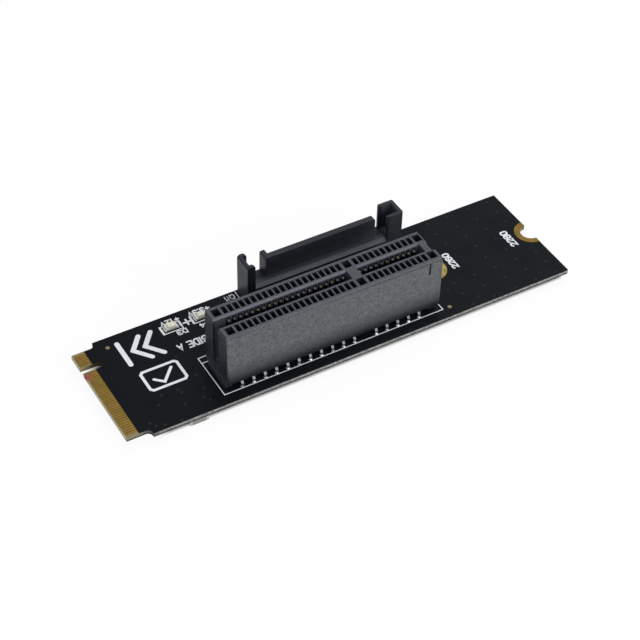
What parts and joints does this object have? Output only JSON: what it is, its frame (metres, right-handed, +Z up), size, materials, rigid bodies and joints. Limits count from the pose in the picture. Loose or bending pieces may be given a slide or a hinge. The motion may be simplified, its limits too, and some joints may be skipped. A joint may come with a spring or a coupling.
{
  "type": "gumstick ssd to pcie riser card",
  "caption": "Narrow plug-in board with gold edge contacts that carries an upright open-ended card slot and a power header with guide towers, with a half-round screw notch at its end.",
  "frame": {"origin": "under the middle of the board's outline, level with the tips of the solder tails that the card rests on", "axes": "+X along the board from the edge contacts to the screw end, +Y across it towards the power header, +Z up"},
  "size_m": [0.08, 0.022, 0.0136],
  "materials": {
    "board": "black solder mask over glass-fibre board, satin",
    "gold_plating": "thin gold plating, slightly dull",
    "slot_plastic": "dark grey glass-filled moulding, fine grain",
    "header_plastic": "black moulding, satin",
    "contact_metal": "gold-flashed spring strip",
    "solder": "bright solder",
    "light_base": "pale laminate",
    "light_lens": "cast cloudy lens, pale yellow",
    "chip_ends": "tinned chip ends",
    "resistor_body": "black glazed face on ceramic",
    "capacitor_body": "pale grey ceramic"
  },
  "bodies": {
    "root": {"circuit_board": "board", "edge_contacts_top": "gold_plating", "edge_contacts_bottom": "gold_plating", "end_notch_plating": "gold_plating", "screw_hole_ring": "gold_plating", "slot_housing": "slot_plastic", "slot_contacts_front_outer": "contact_metal", "slot_contacts_front_inner": "contact_metal", "slot_contacts_back_outer": "contact_metal", "slot_contacts_back_inner": "contact_metal", "slot_solder_front": "solder", "power_header_housing": "header_plastic", "power_contacts_straight": "contact_metal", "power_contacts_stepped": "contact_metal", "capacitor_body": "capacitor_body", "capacitor_caps": "chip_ends", "first_led_base": "light_base", "first_led_lens": "light_lens", "first_led_terminals": "chip_ends", "first_resistor_body": "resistor_body", "first_resistor_caps": "chip_ends", "second_led_base": "light_base", "second_led_lens": "light_lens", "second_led_terminals": "chip_ends", "second_resistor_body": "resistor_body", "second_resistor_caps": "chip_ends"}
  },
  "joints": []
}
